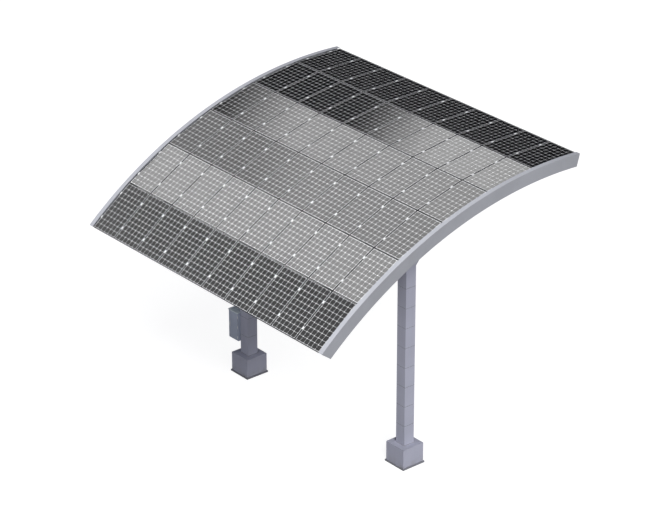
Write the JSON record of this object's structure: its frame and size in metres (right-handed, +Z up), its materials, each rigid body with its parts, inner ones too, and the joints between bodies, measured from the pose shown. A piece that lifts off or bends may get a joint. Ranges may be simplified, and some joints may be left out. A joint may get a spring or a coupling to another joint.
{
  "type": "solar carport",
  "caption": "Open carport with two clad posts on square footings that carry a curved roof of solar modules between two curved edge channels.",
  "frame": {"origin": "on the ground, under the middle of the roof's plan", "axes": "+X along the eaves to the right post, +Y towards the high rear edge of the roof, +Z up"},
  "size_m": [10.42, 9.2746, 8.7539],
  "materials": {
    "footing_paint": "satin grey paint over a steel-faced footing",
    "plinth_paint": "satin grey paint, a shade darker",
    "tube_primer": "matt dark primer, seen only in the cladding's joints",
    "post_paint": "satin grey cladding",
    "girder_paint": "satin grey paint on rolled steel",
    "channel_paint": "satin light grey paint",
    "purlin_zinc": "dull galvanized zinc",
    "module_frame": "black anodized, satin",
    "laminate": "glossy glass over dark square cells on a white back sheet",
    "cabinet_paint": "satin grey powder coat",
    "clamp_aluminium": "bare mill-finish aluminium",
    "fastener_zinc": "bright zinc bolts",
    "cell_silicon": "near-black silicon cells under glass",
    "junction_plastic": "black moulded plastic"
  },
  "bodies": {
    "root": {"footing_plinth_left": "plinth_paint", "footing_left": "footing_paint", "post_tube_left": "tube_primer", "post_cladding_left": "post_paint", "post_head_left": "post_paint", "girder_left": "girder_paint", "edge_channel_left": "channel_paint", "footing_plinth_right": "plinth_paint", "footing_right": "footing_paint", "post_tube_right": "tube_primer", "post_cladding_right": "post_paint", "post_head_right": "post_paint", "girder_right": "girder_paint", "edge_channel_right": "channel_paint", "purlins_row_1": "purlin_zinc", "module_frames_row_1": "module_frame", "laminates_row_1": "laminate", "purlins_row_2": "purlin_zinc", "module_frames_row_2": "module_frame", "laminates_row_2": "laminate", "purlins_row_3": "purlin_zinc", "module_frames_row_3": "module_frame", "laminates_row_3": "laminate", "purlins_row_4": "purlin_zinc", "module_frames_row_4": "module_frame", "laminates_row_4": "laminate", "purlins_row_5": "purlin_zinc", "module_frames_row_5": "module_frame", "laminates_row_5": "laminate", "purlins_row_6": "purlin_zinc", "module_frames_row_6": "module_frame", "laminates_row_6": "laminate", "cabinet_body": "cabinet_paint", "cabinet_cover": "cabinet_paint", "cabinet_hood": "cabinet_paint", "cabinet_rails": "purlin_zinc"}
  },
  "joints": []
}
